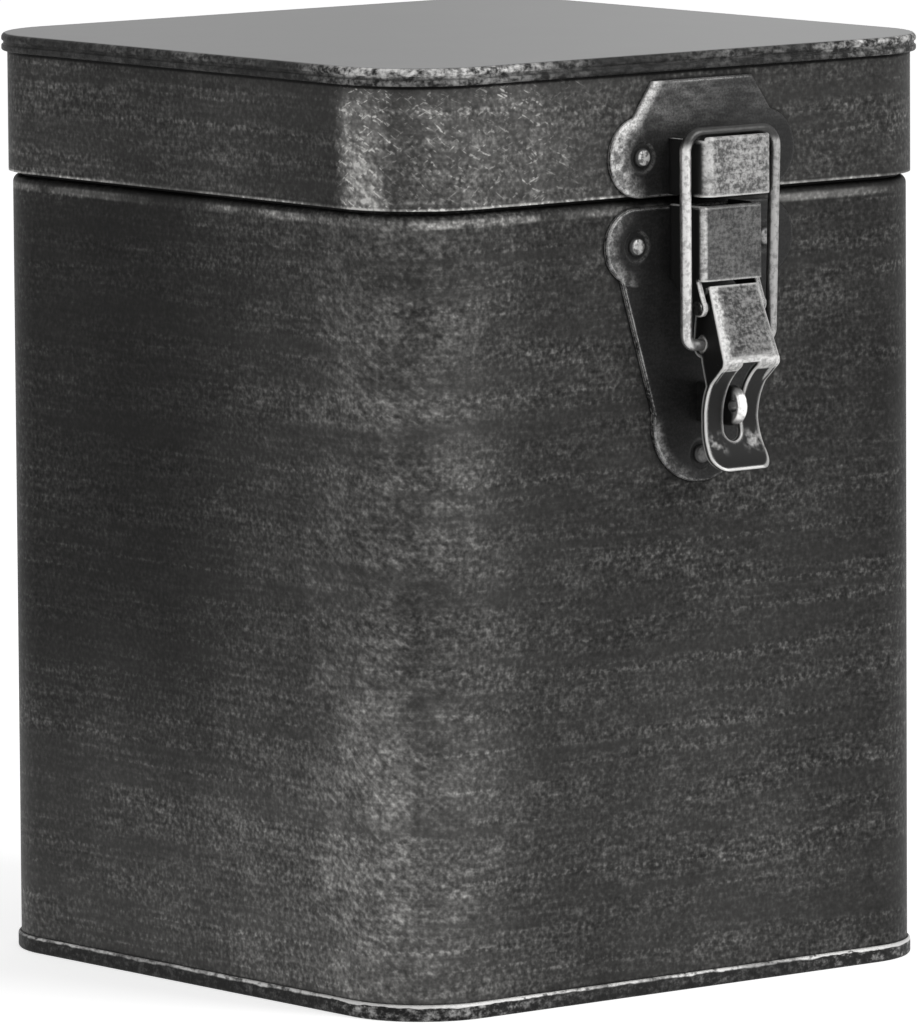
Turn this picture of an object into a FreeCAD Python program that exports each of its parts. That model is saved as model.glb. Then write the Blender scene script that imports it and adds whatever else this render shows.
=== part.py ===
import FreeCAD, Part
import math
import os

V = FreeCAD.Vector

# Box wall
box_width = 172.6
box_depth = 172.6
corner_radius = 22.0
sheet = 0.8
shoulder_height = 195.5
neck_inset = 2.0
neck_rise = 18.5
hem_height = 4.0

# Rolled seams of the bottom and of the lid
bottom_seam_height = 4.2
bottom_seam_proud = 0.8
bottom_recess = 2.2
lid_seam_height = 4.4
lid_seam_proud = 1.5
seam_round = 0.7
lid_edge_round = 1.2
lid_ridge_height = 1.6
lid_ridge_round = 0.5
lid_groove_height = 0.8
lid_groove_depth = 0.5

# Lid
lid_gap = 3.0
lid_play = 0.3
lid_skirt_height = 30.3

# Hinges on the rear face
hinge_corner_gap = 1.0
hinge_length = 36.0
leaf_thickness = 0.9
leaf_height = 21.0
knuckle_radius = 2.2
knuckle_gap = 0.3
hinge_drop = 1.5
hinge_pin_radius = 1.2
hinge_rivet_spacing = 20.0
hinge_rivet_reach = 14.0

# Rivets
shank_radius = 1.5
rivet_head_radius = 2.4
rivet_head_height = 1.3
rivet_tail_radius = 2.6
rivet_tail_height = 0.7
rivet_play = 0.05
dish_radius = 3.8
dish_depth = 0.4

# Latch, placed from its own centre line and from the lower edge of the lid
latch_offset = 6.0
plate_thickness = 1.2
latch_sheet = 1.2
plate_edge_round = 0.4
channel_edge_round = 0.6

# Keeper on the lid
keeper_top_rise = 28.0
keeper_top_half = 15.8
keeper_waist_rise = 17.6
keeper_waist_half = 23.0
keeper_ear_rise = 9.5
keeper_ear_reach = 19.6
keeper_ear_radius = 10.0
hook_width = 22.0
hook_standoff = 16.2
hook_saddle_rise = 13.8
hook_lip_height = 0.9
hook_round = 3.0

# Base plate on the body
base_ear_drop = 12.4
base_ear_reach = 20.6
base_ear_radius = 9.4
base_neck_drop = 19.9
base_neck_half = 25.4
base_tail_drop = 56.5
base_tail_radius = 15.4
base_waist_half = 14.4
tail_rivet_drop = 65.1

# Housing that carries the lever
housing_width = 20.0
housing_standoff = 13.6
housing_top_drop = 2.5
housing_bottom_drop = 21.0
housing_round = 2.0
cheek_lobe = 2.2

# Lever, measured from its pivot
pivot_drop = 27.5
pivot_standoff = 12.0
pivot_pin_radius = 1.1
pivot_head_radius = 1.7
pivot_head_height = 0.6
running_play = 0.05
lever_top_rise = 5.3
lever_top_reach = 1.4
lever_crest_drop = 13.7
lever_crest_reach = 8.9
lever_crest_round = 2.0
lever_trough_drop = 28.3
lever_trough_reach = 0.7
lever_lip_drop = 40.0
lever_lip_reach = 6.6
lever_top_half = 7.6
lever_crest_half = 8.95
lever_waist_half = 8.45
lever_lip_half = 9.35
lever_lip_round = 3.6
lever_sheet = 1.6
lever_ear_radius = 3.3
lever_flange_end_drop = 20.5
slot_width = 5.6
slot_top_drop = 13.3
slot_bottom_drop = 33.4

# Wire bail
wire_radius = 1.45
wire_play = 0.08
wire_seat_gap = 0.35
crank_drop = 9.0
crank_inset = 0.4
crossbar_forward = 0.5
bail_top_half = 14.45
bail_foot_half = 13.6
bail_end_half = 6.4
bail_top_bend = 4.5
bail_foot_bend = 2.6

# Padlock staple
staple_drop = 52.1
staple_thickness = 3.0
staple_radius = 5.0
staple_eye_radius = 1.6
staple_rim = 1.1
staple_edge_round = 0.9
staple_slot_play = 0.4

# Places that follow from the sizes above
front_face = -box_depth / 2
rear_face = box_depth / 2
neck_top = shoulder_height + neck_rise
lid_overhang = sheet + lid_play
lid_edge = shoulder_height + lid_gap
lid_seam_base = lid_edge + lid_skirt_height
lid_top = lid_seam_base + lid_seam_height
keeper_seat = lid_overhang
keeper_front = keeper_seat + plate_thickness
hinge_axis_z = lid_edge - hinge_drop
hinge_axis_y = rear_face + lid_overhang + knuckle_radius
pivot_z = lid_edge - pivot_drop
crank_z = pivot_z - crank_drop
crank_standoff = pivot_standoff - crank_inset
hook_saddle = lid_edge + hook_saddle_rise
crossbar_z = hook_saddle + wire_seat_gap + wire_radius
crossbar_standoff = pivot_standoff + crossbar_forward
staple_z = lid_edge - staple_drop
staple_eye_standoff = pivot_standoff + lever_trough_reach + staple_slot_play + staple_eye_radius
staple_disc_standoff = staple_eye_standoff + staple_eye_radius + staple_rim - staple_radius
OUTWARD_FRONT = V(0, -1, 0)
OUTWARD_REAR = V(0, 1, 0)
ALONG_X = V(1, 0, 0)


def level_edges(shape, height):
    """Edges of a shape that lie level at one height."""
    near = 1e-6
    found = []
    for edge in shape.Edges:
        box = edge.BoundBox
        if abs(box.ZMin - height) < near and abs(box.ZMax - height) < near:
            found.append(edge)
    return found


def edges_along(shape, direction):
    """Straight edges of a shape that run along one direction."""
    found = []
    for edge in shape.Edges:
        ends = edge.Vertexes
        span = ends[-1].Point - ends[0].Point
        if span.Length > 1e-6 and abs(span.dot(direction)) > 0.999 * span.Length:
            found.append(edge)
    return found


def plan_block(inset, low, high):
    """Block with the rounded plan of the box wall, drawn in by inset all round."""
    width = box_width - 2 * inset
    depth = box_depth - 2 * inset
    block = Part.makeBox(width, depth, high - low, V(-width / 2, -depth / 2, low))
    return block.makeFillet(corner_radius - inset, edges_along(block, V(0, 0, 1)))


def plan_ring(outer_inset, inner_inset, low, high):
    """Upright band between two insets of the box plan."""
    return plan_block(outer_inset, low, high).cut(plan_block(inner_inset, low, high))


def front_point(x, standoff, z):
    """Point in front of the box, measured from the latch centre line and the front wall."""
    return V(latch_offset + x, front_face - standoff, z)


def front_edges(shape, standoff):
    """Edges of a shape that lie in one plane parallel to the front wall."""
    near = 1e-6
    level = front_face - standoff
    found = []
    for edge in shape.Edges:
        box = edge.BoundBox
        if abs(box.YMin - level) < near and abs(box.YMax - level) < near:
            found.append(edge)
    return found


def front_disc(x, z, radius, back, front):
    """Disc parallel to the front wall between two standoffs."""
    return Part.makeCylinder(radius, front - back, front_point(x, back, z), OUTWARD_FRONT)


def front_plate(outline, back, front):
    """Plate parallel to the front wall with a straight-sided outline of x and z."""
    points = [front_point(x, back, z) for x, z in outline]
    face = Part.Face(Part.makePolygon(points + points[:1]))
    return face.extrude(OUTWARD_FRONT * (front - back))


def mirrored(outline):
    """Outline closed by its own mirror image across the latch centre line."""
    return outline + [(-x, z) for x, z in reversed(outline)]


def side_face(edges):
    """Face in the plane through the latch centre line, from its boundary edges."""
    return Part.Face(Part.Wire(edges))


def side_plate(outline, half):
    """Plate square to the front wall with an outline of standoff and z, either side of the centre."""
    points = [front_point(-half, standoff, z) for standoff, z in outline]
    face = Part.Face(Part.makePolygon(points + points[:1]))
    return face.extrude(ALONG_X * (2 * half))


def cross_rod(standoff, z, radius, half):
    """Round rod across the latch, along the front wall."""
    return Part.makeCylinder(radius, 2 * half, front_point(-half, standoff, z), ALONG_X)


def joined(shapes):
    """One solid from overlapping shapes."""
    return shapes[0].multiFuse(shapes[1:]).removeSplitter()


def rivet(seat, outward, grip):
    """Domed rivet whose head sits on the seat and whose tail closes behind the grip."""
    head = Part.makeCylinder(rivet_head_radius, rivet_head_height, seat, outward)
    crown_edges = []
    for edge in head.Edges:
        if (edge.CenterOfMass - seat).dot(outward) > 0.9 * rivet_head_height:
            crown_edges.append(edge)
    head = head.makeFillet(0.9 * rivet_head_height, crown_edges)
    shank = Part.makeCylinder(shank_radius, grip, seat, -outward)
    tail = Part.makeCylinder(rivet_tail_radius, rivet_tail_height, seat - outward * grip, -outward)
    return joined([head, shank, tail])


def rivet_hole(seat, outward):
    """Hole for a rivet through the plate and the sheet behind its seat."""
    reach = 4 * (plate_thickness + sheet)
    return Part.makeCylinder(shank_radius + rivet_play, reach, seat + outward * (reach / 2), -outward)


def rivet_dish(seat, outward):
    """Shallow dish round a rivet, open to the outside."""
    return Part.makeCylinder(dish_radius, dish_depth, seat, outward)


# Rivet seats. Front seats lie at the floor of their dishes.
keeper_seats = []
base_seats = []
for side in (-1, 1):
    keeper_ear_z = lid_edge + keeper_ear_rise
    keeper_seats.append(front_point(side * keeper_ear_reach, keeper_front - dish_depth, keeper_ear_z))
    base_seats.append(front_point(side * base_ear_reach, plate_thickness - dish_depth, lid_edge - base_ear_drop))
base_seats.append(front_point(0, plate_thickness - dish_depth, lid_edge - tail_rivet_drop))

hinge_reach = box_width / 2 - corner_radius - hinge_corner_gap - hinge_length / 2
hinge_centres = {"left": -hinge_reach, "right": hinge_reach}
body_leaf_seats = []
lid_leaf_seats = []
for centre in hinge_centres.values():
    for side in (-1, 1):
        x = centre + side * hinge_rivet_spacing / 2
        body_leaf_seats.append(V(x, rear_face + leaf_thickness, hinge_axis_z - hinge_rivet_reach))
        lid_seat_y = rear_face + lid_overhang + leaf_thickness
        lid_leaf_seats.append(V(x, lid_seat_y, hinge_axis_z + hinge_rivet_reach))


def make_body_shell():
    """Sheet wall with a rounded shoulder, a narrower neck and a hemmed mouth."""
    turn = shoulder_height + neck_inset
    outer = plan_block(0, sheet, turn)
    outer = outer.makeFillet(neck_inset, level_edges(outer, turn))
    outer = outer.fuse(plan_block(neck_inset, turn, neck_top))
    inner = plan_block(sheet, 0, turn - sheet)
    inner = inner.makeFillet(neck_inset - sheet, level_edges(inner, turn - sheet))
    inner = inner.fuse(plan_block(neck_inset + sheet, turn - sheet, neck_top))
    hem = plan_ring(neck_inset + sheet, neck_inset + 2 * sheet, neck_top - hem_height, neck_top)
    shell = joined([outer.cut(inner), hem])
    holes = [rivet_hole(seat, OUTWARD_FRONT) for seat in base_seats]
    holes += [rivet_hole(seat, OUTWARD_REAR) for seat in body_leaf_seats]
    return shell.cut(holes)


def make_bottom_panel():
    """Bottom sheet whose edge is rolled round the foot of the wall."""
    seam = plan_block(-bottom_seam_proud, 0, bottom_seam_height)
    rounded = level_edges(seam, 0) + level_edges(seam, bottom_seam_height)
    seam = seam.makeFillet(min(seam_round, 0.9 * bottom_seam_proud), rounded)
    seam = seam.cut(plan_block(0, sheet, bottom_seam_height))
    seam = seam.cut(plan_block(2 * sheet, 0, sheet))
    hook = plan_ring(sheet, 2 * sheet, sheet, bottom_recess + sheet)
    panel = plan_block(2 * sheet, bottom_recess, bottom_recess + sheet)
    return joined([seam, hook, panel])


def make_lid_band():
    """Skirt of the lid with a hem turned inward along its lower edge."""
    band = plan_ring(-lid_overhang, -lid_play, lid_edge, lid_top - sheet)
    hem = plan_ring(-lid_play, sheet - lid_play, lid_edge, lid_edge + hem_height)
    holes = [rivet_hole(seat, OUTWARD_FRONT) for seat in keeper_seats]
    holes += [rivet_hole(seat, OUTWARD_REAR) for seat in lid_leaf_seats]
    return joined([band, hem]).cut(holes)


def make_lid_top_panel():
    """Flush top sheet of the lid, rolled over the upper edge of the band in two ridges."""
    reach = lid_overhang + lid_seam_proud
    ridge_top = lid_seam_base + lid_ridge_height
    edge_base = ridge_top + lid_groove_height
    ridge = plan_block(-reach, lid_seam_base, ridge_top)
    ridge = ridge.makeFillet(lid_ridge_round, level_edges(ridge, lid_seam_base) + level_edges(ridge, ridge_top))
    edge = plan_block(-reach, edge_base, lid_top)
    edge = edge.makeFillet(lid_ridge_round, level_edges(edge, edge_base))
    edge = edge.makeFillet(lid_edge_round, level_edges(edge, lid_top))
    core = plan_block(lid_groove_depth - reach, lid_seam_base + lid_ridge_round, lid_top - lid_edge_round)
    return joined([ridge, edge, core]).cut(plan_block(-lid_overhang, lid_seam_base, lid_top - sheet))


def knuckle(start, length):
    """Tube of a hinge leaf round the hinge pin."""
    at = V(start, hinge_axis_y, hinge_axis_z)
    tube = Part.makeCylinder(knuckle_radius, length, at, ALONG_X)
    return tube.cut(Part.makeCylinder(hinge_pin_radius + running_play, length, at, ALONG_X))


def make_lid_leaf(centre):
    """Leaf on the lid skirt with one middle knuckle."""
    third = hinge_length / 3
    near = hinge_axis_y - knuckle_radius
    clear = knuckle_radius + 2 * knuckle_gap
    plate_low = hinge_axis_z + clear
    plate = Part.makeBox(hinge_length, leaf_thickness, leaf_height, V(centre - hinge_length / 2, near, plate_low))
    start = centre - third / 2 + knuckle_gap / 2
    length = third - knuckle_gap
    strap = Part.makeBox(length, leaf_thickness, clear, V(start, near, hinge_axis_z))
    strap = strap.cut(Part.makeCylinder(hinge_pin_radius + running_play, length,
                                        V(start, hinge_axis_y, hinge_axis_z), ALONG_X))
    leaf = joined([plate, strap, knuckle(start, length)])
    return leaf.cut([rivet_hole(seat, OUTWARD_REAR) for seat in lid_leaf_seats])


def make_body_leaf(centre):
    """Leaf on the rear wall, cranked out under the lid edge, with two outer knuckles."""
    third = hinge_length / 3
    near = hinge_axis_y - knuckle_radius
    clear = knuckle_radius + 2 * knuckle_gap
    plate_high = hinge_axis_z - clear
    left = centre - hinge_length / 2
    pieces = [Part.makeBox(hinge_length, leaf_thickness, leaf_height, V(left, rear_face, plate_high - leaf_height))]
    step = 2 * leaf_thickness
    pieces.append(Part.makeBox(hinge_length, near + leaf_thickness - rear_face, step,
                               V(left, rear_face, plate_high - step)))
    for start in (left, left + 2 * third + knuckle_gap / 2):
        length = third - knuckle_gap / 2
        pieces.append(Part.makeBox(length, leaf_thickness, clear, V(start, near, plate_high)))
        pieces.append(knuckle(start, length))
    leaf = joined(pieces)
    return leaf.cut([rivet_hole(seat, OUTWARD_REAR) for seat in body_leaf_seats])


def make_hinge_pin(centre):
    """Plain hinge pin as long as its leaves."""
    start = V(centre - hinge_length / 2, hinge_axis_y, hinge_axis_z)
    return Part.makeCylinder(hinge_pin_radius, hinge_length, start, ALONG_X)


def make_keeper_plate():
    """Eared plate on the lid skirt."""
    ear_z = lid_edge + keeper_ear_rise
    outline = mirrored([
        (keeper_top_half, lid_edge + keeper_top_rise),
        (keeper_waist_half, lid_edge + keeper_waist_rise),
        (keeper_ear_reach, ear_z - keeper_ear_radius),
    ])
    pieces = [front_plate(outline, keeper_seat, keeper_front)]
    for side in (-1, 1):
        pieces.append(front_disc(side * keeper_ear_reach, ear_z, keeper_ear_radius, keeper_seat, keeper_front))
    plate = joined(pieces)
    plate = plate.makeFillet(plate_edge_round, front_edges(plate, keeper_front))
    cuts = [rivet_hole(seat, OUTWARD_FRONT) for seat in keeper_seats]
    cuts += [rivet_dish(seat, OUTWARD_FRONT) for seat in keeper_seats]
    return plate.cut(cuts)


def front_channel(width, standoff, seat, low, high, rounding):
    """Open channel standing on a plate, its two front corners and its upper rim rounded."""
    def block(half, front, radius):
        solid = Part.makeBox(2 * half, front - seat, high - low, front_point(-half, front, low))
        corners = []
        for edge in edges_along(solid, V(0, 0, 1)):
            if abs(edge.CenterOfMass.y - (front_face - front)) < 1e-6:
                corners.append(edge)
        return solid.makeFillet(radius, corners)
    outer = block(width / 2, standoff, rounding)
    rim = [e for e in level_edges(outer, high) if e.BoundBox.YMin < front_face - seat - 1e-3]
    outer = outer.makeFillet(channel_edge_round, rim)
    return outer.cut(block(width / 2 - latch_sheet, standoff - latch_sheet, rounding - latch_sheet))


def make_keeper_hook():
    """Raised catch whose cheeks hold the crossbar behind a low lip."""
    lip_top = hook_saddle + hook_lip_height
    channel = front_channel(hook_width, hook_standoff, keeper_front, lid_edge, lip_top, hook_round)
    saddle_front = hook_standoff - latch_sheet
    saddle = side_plate([
        (keeper_front, hook_saddle), (saddle_front, hook_saddle),
        (saddle_front, lip_top), (keeper_front, lip_top),
    ], hook_width / 2)
    return channel.cut(saddle)


def make_base_plate():
    """Eared plate on the front wall that narrows to a round tail."""
    ear_z = lid_edge - base_ear_drop
    tail_z = lid_edge - base_tail_drop
    outline = mirrored([
        (base_ear_reach, ear_z + base_ear_radius),
        (base_ear_reach, lid_edge - base_neck_drop),
        (base_neck_half, lid_edge - base_neck_drop),
        (base_waist_half, tail_z),
    ])
    pieces = [front_plate(outline, 0, plate_thickness)]
    for side in (-1, 1):
        pieces.append(front_disc(side * base_ear_reach, ear_z, base_ear_radius, 0, plate_thickness))
    pieces.append(front_disc(0, tail_z, base_tail_radius, 0, plate_thickness))
    plate = joined(pieces)
    plate = plate.makeFillet(plate_edge_round, front_edges(plate, plate_thickness))
    cuts = [rivet_hole(seat, OUTWARD_FRONT) for seat in base_seats]
    cuts += [rivet_dish(seat, OUTWARD_FRONT) for seat in base_seats]
    return plate.cut(cuts)


def make_housing():
    """Channel on the base plate whose cheeks reach down to the lever pivot."""
    low = lid_edge - housing_bottom_drop
    high = lid_edge - housing_top_drop
    channel = front_channel(housing_width, housing_standoff, plate_thickness, low, high, housing_round)
    half = housing_width / 2
    cheek_top = low + housing_round
    cheeks = side_plate([
        (plate_thickness, cheek_top), (housing_standoff - housing_round, cheek_top),
        (housing_standoff - housing_round, low), (pivot_standoff + cheek_lobe, pivot_z),
        (pivot_standoff - cheek_lobe, pivot_z), (plate_thickness, low),
    ], half)
    lobe = cross_rod(pivot_standoff, pivot_z, cheek_lobe, half)
    between = half - latch_sheet
    gap = side_plate([
        (plate_thickness, high), (housing_standoff - latch_sheet, high),
        (housing_standoff - latch_sheet, low), (housing_standoff + cheek_lobe, low),
        (housing_standoff + cheek_lobe, pivot_z - cheek_lobe), (plate_thickness, pivot_z - cheek_lobe),
    ], between)
    cheeks = joined([cheeks, lobe]).cut(gap)
    pin_hole = cross_rod(pivot_standoff, pivot_z, pivot_pin_radius + running_play, half)
    return joined([channel, cheeks]).cut(pin_hole)


def make_pivot_pin():
    """Headed pin through the cheeks and the lever."""
    half = housing_width / 2
    shaft = cross_rod(pivot_standoff, pivot_z, pivot_pin_radius, half)
    pieces = [shaft]
    for start in (-half - pivot_head_height, half):
        at = front_point(start, pivot_standoff, pivot_z)
        pieces.append(Part.makeCylinder(pivot_head_radius, pivot_head_height, at, ALONG_X))
    return joined(pieces)


def circle_centre(a, b, c):
    """Centre of the circle through three points of standoff and z."""
    d = 2 * (a[0] * (b[1] - c[1]) + b[0] * (c[1] - a[1]) + c[0] * (a[1] - b[1]))
    squares = [p[0] ** 2 + p[1] ** 2 for p in (a, b, c)]
    across = squares[0] * (b[1] - c[1]) + squares[1] * (c[1] - a[1]) + squares[2] * (a[1] - b[1])
    upward = squares[0] * (c[0] - b[0]) + squares[1] * (a[0] - c[0]) + squares[2] * (b[0] - a[0])
    return across / d, upward / d


def lever_taper(trim):
    """Block that gives the lever its front outline, drawn in by trim at both sides."""
    outline = mirrored([
        (lever_top_half - trim, pivot_z + lever_top_rise),
        (lever_crest_half - trim, pivot_z - lever_crest_drop),
        (lever_waist_half - trim, pivot_z - lever_trough_drop),
        (lever_lip_half - trim, pivot_z - lever_lip_drop),
    ])
    block = front_plate(outline, 0, pivot_standoff + 2 * lever_crest_reach)
    lip_z = pivot_z - lever_lip_drop
    corners = [e for e in edges_along(block, OUTWARD_FRONT) if abs(e.CenterOfMass.z - lip_z) < 1e-6]
    return block.makeFillet(lever_lip_round, corners)


def make_lever():
    """Bent lever: a flared face, a hollow tail with a lip, and two side flanges."""
    top = (pivot_standoff + lever_top_reach, pivot_z + lever_top_rise)
    crest = (pivot_standoff + lever_crest_reach, pivot_z - lever_crest_drop)
    trough = (pivot_standoff + lever_trough_reach, pivot_z - lever_trough_drop)
    lip = (pivot_standoff + lever_lip_reach, pivot_z - lever_lip_drop)
    centre = circle_centre(crest, trough, lip)
    radius = math.dist(centre, trough)

    def behind(point):
        """Point on the rear side of the tail sheet."""
        share = lever_sheet / radius
        return (point[0] + (point[0] - centre[0]) * share, point[1] + (point[1] - centre[1]) * share)

    run = math.dist(top, crest)
    normal = ((crest[1] - top[1]) / run, (top[0] - crest[0]) / run)
    top_behind = (top[0] + normal[0] * lever_sheet, top[1] + normal[1] * lever_sheet)
    half = lever_lip_half

    def at(point):
        return front_point(-half, point[0], point[1])

    def rounded_crest(block):
        """Block with its foremost bend rounded."""
        bend = []
        for edge in edges_along(block, ALONG_X):
            middle = edge.CenterOfMass
            if math.dist((front_face - middle.y, middle.z), crest) < 1e-4:
                bend.append(edge)
        return block.makeFillet(lever_crest_round, bend)

    tail = side_face([
        Part.Arc(at(crest), at(trough), at(lip)).toShape(),
        Part.LineSegment(at(lip), at(behind(lip))).toShape(),
        Part.Arc(at(behind(lip)), at(behind(trough)), at(behind(crest))).toShape(),
        Part.LineSegment(at(behind(crest)), at(crest)).toShape(),
    ]).extrude(ALONG_X * (2 * half))
    face = side_plate([top, crest, behind(crest), top_behind], half)
    sheet_part = rounded_crest(joined([face, tail])).common(lever_taper(0))

    flange_end_z = pivot_z - lever_flange_end_drop
    drop = centre[1] - flange_end_z
    flange_end = (centre[0] - math.sqrt((radius + lever_sheet / 2) ** 2 - drop ** 2), flange_end_z)
    flange = side_plate([
        top, crest, flange_end,
        (crank_standoff, crank_z - lever_ear_radius), (crank_standoff - lever_ear_radius, crank_z),
        (pivot_standoff - lever_ear_radius, pivot_z),
    ], half)
    ears = [
        cross_rod(pivot_standoff, pivot_z, lever_ear_radius, half),
        cross_rod(crank_standoff, crank_z, lever_ear_radius, half),
    ]
    rim = lever_taper(0).cut(lever_taper(latch_sheet))
    flanges = rounded_crest(joined([flange] + ears)).common(rim)
    lever = joined([sheet_part, flanges])

    front = pivot_standoff + 2 * lever_crest_reach
    slot_end_z = pivot_z - slot_bottom_drop + slot_width / 2
    slot = front_plate(mirrored([
        (slot_width / 2, pivot_z - slot_top_drop), (slot_width / 2, slot_end_z),
    ]), 0, front)
    slot = joined([slot, front_disc(0, slot_end_z, slot_width / 2, 0, front)])
    pivot_hole = cross_rod(pivot_standoff, pivot_z, pivot_pin_radius + running_play, half)
    crank_hole = cross_rod(crank_standoff, crank_z, wire_radius + wire_play, half)
    return lever.cut([slot, pivot_hole, crank_hole])


def rounded_path(corners, radii):
    """Path through corners, each inner corner rounded by its own radius."""
    edges = []
    start = corners[0]
    for before, corner, after, radius in zip(corners, corners[1:], corners[2:], radii):
        back = (before - corner).normalize()
        ahead = (after - corner).normalize()
        half_turn = back.getAngle(ahead) / 2
        reach = radius / math.tan(half_turn)
        middle = (back + ahead).normalize()
        entry = corner + back * reach
        leave = corner + ahead * reach
        apex = corner + middle * (radius / math.sin(half_turn) - radius)
        edges.append(Part.LineSegment(start, entry).toShape())
        edges.append(Part.Arc(entry, apex, leave).toShape())
        start = leave
    edges.append(Part.LineSegment(start, corners[-1]).toShape())
    return Part.Wire(edges)


def make_bail():
    """Wire loop over the keeper hook with its ends turned into the lever."""
    path = rounded_path([
        front_point(-bail_end_half, crank_standoff, crank_z),
        front_point(-bail_foot_half, crank_standoff, crank_z),
        front_point(-bail_top_half, crossbar_standoff, crossbar_z),
        front_point(bail_top_half, crossbar_standoff, crossbar_z),
        front_point(bail_foot_half, crank_standoff, crank_z),
        front_point(bail_end_half, crank_standoff, crank_z),
    ], [bail_foot_bend, bail_top_bend, bail_top_bend, bail_foot_bend])
    start = front_point(-bail_end_half, crank_standoff, crank_z)
    section = Part.Wire([Part.Circle(start, ALONG_X, wire_radius).toShape()])
    return path.makePipeShell([section], True, False)


def make_staple():
    """Eye plate on the base plate that stands through the slot of the lever."""
    half = staple_thickness / 2
    stem = side_plate([
        (plate_thickness, staple_z - staple_radius), (staple_disc_standoff, staple_z - staple_radius),
        (staple_disc_standoff, staple_z + staple_radius), (plate_thickness, staple_z + staple_radius),
    ], half)
    nose = cross_rod(staple_disc_standoff, staple_z, staple_radius, half)
    tongue = joined([stem, nose])
    rim = [edge for edge in tongue.Edges if edge.CenterOfMass.y < front_face - staple_disc_standoff - 1e-6]
    rim = [edge for edge in rim if abs(abs(edge.CenterOfMass.x - latch_offset) - half) < 1e-6]
    eye = cross_rod(staple_eye_standoff, staple_z, staple_eye_radius, half)
    return tongue.makeFillet(staple_edge_round, rim).cut(eye)


def rivets(seats, outward, grip):
    """Group of like rivets, each a solid of its own."""
    return Part.makeCompound([rivet(seat, outward, grip) for seat in seats])


front_grip = plate_thickness - dish_depth + sheet
rear_grip = leaf_thickness + sheet
nodes = {
    "body_shell": make_body_shell(),
    "bottom_panel": make_bottom_panel(),
    "lid_band": make_lid_band(),
    "lid_top_panel": make_lid_top_panel(),
    "keeper_plate": make_keeper_plate(),
    "keeper_hook": make_keeper_hook(),
    "keeper_rivets": rivets(keeper_seats, OUTWARD_FRONT, front_grip),
    "latch_base_plate": make_base_plate(),
    "latch_base_rivets": rivets(base_seats, OUTWARD_FRONT, front_grip),
    "latch_housing": make_housing(),
    "lever_pivot_pin": make_pivot_pin(),
    "latch_lever": make_lever(),
    "wire_bail": make_bail(),
    "padlock_staple": make_staple(),
    "hinge_body_rivets": rivets(body_leaf_seats, OUTWARD_REAR, rear_grip),
    "hinge_lid_rivets": rivets(lid_leaf_seats, OUTWARD_REAR, rear_grip),
}
for hand, middle in hinge_centres.items():
    nodes["hinge_body_leaf_" + hand] = make_body_leaf(middle)
    nodes["hinge_lid_leaf_" + hand] = make_lid_leaf(middle)
    nodes["hinge_pin_" + hand] = make_hinge_pin(middle)

os.makedirs("parts", exist_ok=True)
for name, shape in nodes.items():
    shape.exportStep("parts/" + name + ".step")
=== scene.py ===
import math
from typing import NamedTuple

import bpy
from mathutils import Matrix, Vector


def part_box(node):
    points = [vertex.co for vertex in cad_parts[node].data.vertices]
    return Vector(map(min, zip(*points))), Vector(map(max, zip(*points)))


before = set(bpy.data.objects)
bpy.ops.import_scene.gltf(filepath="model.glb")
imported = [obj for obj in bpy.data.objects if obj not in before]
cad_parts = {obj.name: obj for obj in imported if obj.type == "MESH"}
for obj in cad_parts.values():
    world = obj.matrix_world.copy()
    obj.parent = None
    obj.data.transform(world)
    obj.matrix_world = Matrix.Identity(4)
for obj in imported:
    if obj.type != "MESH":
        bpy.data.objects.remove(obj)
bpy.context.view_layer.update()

MM = 0.001

# Photograph's camera, in degrees, metres and pixels
IMAGE_HEIGHT = 1024
CAMERA_AZIMUTH = -38.986
CAMERA_ELEVATION = 6.879
CAMERA_ROLL = -0.38
CAMERA_DISTANCE = 2.7806
CAMERA_AIM = Vector((0, 0, 0.1146))
FOCAL_PIXELS = 11000
AIM_RIGHT_PIXELS = 1.05
AIM_UP_PIXELS = 12.1
SENSOR = 36.0
VIEW_END = 50
# Right of the picture along X and Y
VIEW_RIGHT = (0.777, -0.63)

# Studio: soft boxes with place, size and power, and the brightness of floor and surroundings
SOFT_BOXES = {
    "key_light": ((1.0, -2.2, 1.6), 1.4, 42),
    "left_light": ((-2.2, -0.6, 1.2), 1.2, 3),
}
LIGHT_AIM = (0, 0, 0.12)
FLOOR_SIZE = 30
FLOOR_GREY = 0.86
FLOOR_GLOW = 0.6
SURROUND_LIT = 0.45
SURROUND_SEEN = 1.0

# Landmarks of the box, read from the frame
band_low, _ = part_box("lid_band")
seam_low, seam_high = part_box("lid_top_panel")
foot_low, foot_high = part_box("bottom_panel")
keeper_low, keeper_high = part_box("keeper_plate")
lever_low, lever_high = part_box("latch_lever")
hook_low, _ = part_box("keeper_hook")
housing_low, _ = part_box("latch_housing")
_, bail_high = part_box("wire_bail")
staple_low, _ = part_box("padlock_staple")
LID_EDGE = band_low.z
LATCH_MIDDLE = (keeper_low.x + keeper_high.x) / 2
LEVER_CREST = lever_high.z - 19 * MM

# Tones, from 0 for black to 1 for white
WARM = (1.015, 1.0, 0.97)
LIGHTEST_RUB = 0.75
DEEP_SHADE = 0.01
LEVER_SHADE = 0.014
SHADE_ON_STEEL = 0.03
SEAM_SILVER = 0.62
MARK_AND_HIGHLIGHT_SILVER = 0.82
EDGE_SILVER = 0.8
CROWN_SILVER = 0.7
CROWN_BLACK = 0.02

# Depth of fine relief
SHEET_RELIEF = 0.06 * MM
SEAM_RELIEF = 0.4 * MM
STEEL_RELIEF = 0.1 * MM

SHEET_SPREAD = 5.7
CONTACT_SHADE_REACH = 5 * MM
SEAM_ROUNDING = 1.5 * MM


class CornerRubAndSheen(NamedTuple):
    """Rubbing and painted sheen that grow toward the near corner, between two distances along a leaning
    line.
    """

    lean: float
    start: float
    full: float
    amount: float
    patchy: float


class Band(NamedTuple):
    """Level band between two heights, lighter or darker by an amount."""

    low: float
    high: float
    soft: float
    amount: float
    unbroken: float


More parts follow.
